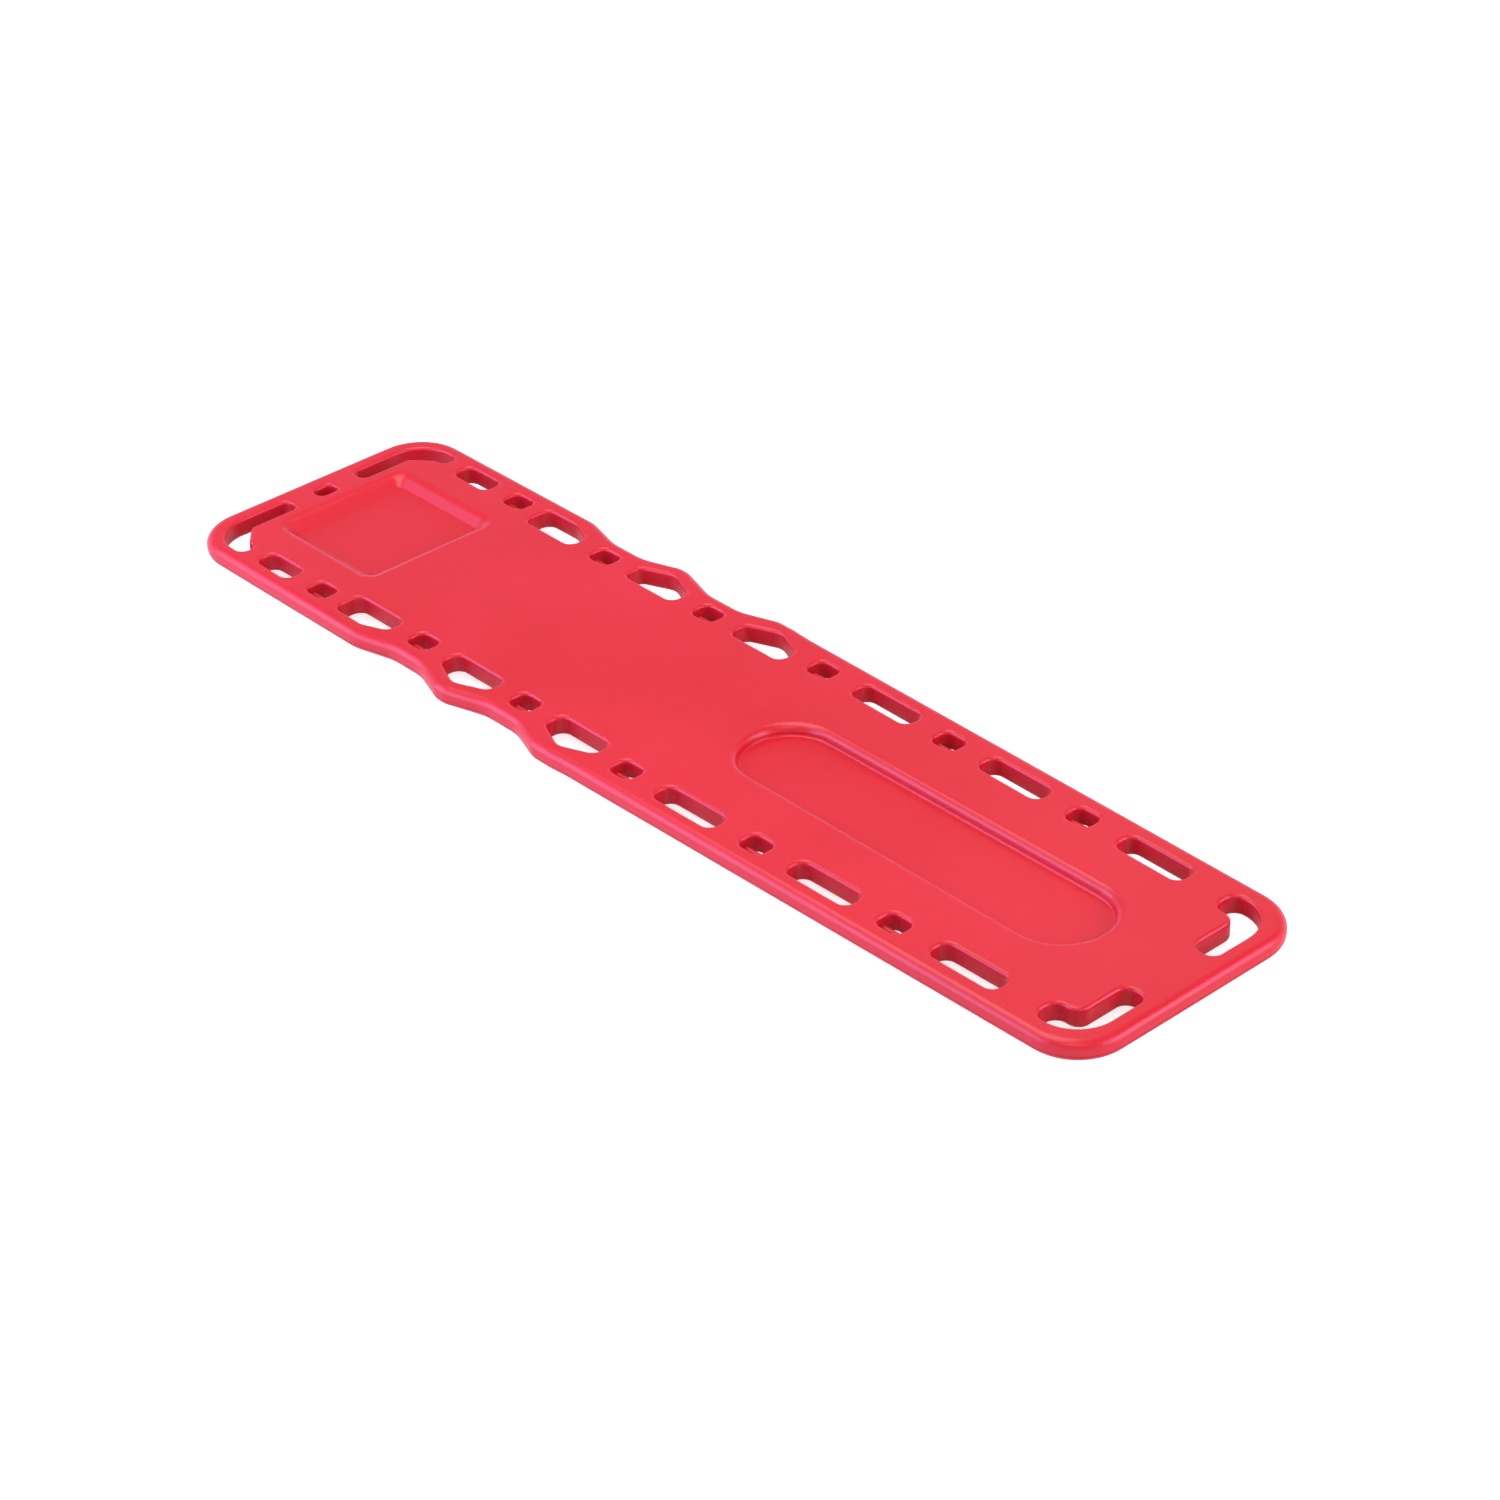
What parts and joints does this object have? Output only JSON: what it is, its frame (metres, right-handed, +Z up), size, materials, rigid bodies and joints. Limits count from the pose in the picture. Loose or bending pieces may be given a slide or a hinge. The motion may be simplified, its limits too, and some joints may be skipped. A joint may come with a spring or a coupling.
{
  "type": "spine board",
  "caption": "Long flat rescue board with hand holes and strap pins round its edge, a shallow head recess and a shallow leg recess.",
  "frame": {"origin": "under the middle of the board, on the surface that its runners stand on", "axes": "+X towards the foot end, +Y towards the patient's left side, +Z up out of the patient surface"},
  "size_m": [1.84, 0.466, 0.045],
  "materials": {
    "red_polyethylene": "satin moulded polyethylene",
    "belly_plug_plastic": "satin moulded polyethylene",
    "pin_nylon": "extruded glass-filled nylon rod",
    "composite_tube": "pultruded composite",
    "tube_plug_plastic": "natural polyethylene",
    "polyurethane_foam": "rigid foam"
  },
  "bodies": {
    "root": {"bottom_shell": "red_polyethylene", "foam_core": "polyurethane_foam", "foam_fill_plug": "belly_plug_plastic", "stiffener_tube_left": "composite_tube", "stiffener_tube_right": "composite_tube", "strap_pin_head": "pin_nylon", "strap_pin_left_1": "pin_nylon", "strap_pin_left_2": "pin_nylon", "strap_pin_left_3": "pin_nylon", "strap_pin_left_4": "pin_nylon", "strap_pin_left_5": "pin_nylon", "strap_pin_left_6": "pin_nylon", "strap_pin_right_1": "pin_nylon", "strap_pin_right_2": "pin_nylon", "strap_pin_right_3": "pin_nylon", "strap_pin_right_4": "pin_nylon", "strap_pin_right_5": "pin_nylon", "strap_pin_right_6": "pin_nylon", "top_shell": "red_polyethylene", "tube_plug_left_foot": "tube_plug_plastic", "tube_plug_left_head": "tube_plug_plastic", "tube_plug_right_foot": "tube_plug_plastic", "tube_plug_right_head": "tube_plug_plastic", "vent_plug_foot": "belly_plug_plastic", "vent_plug_head": "belly_plug_plastic"}
  },
  "joints": []
}
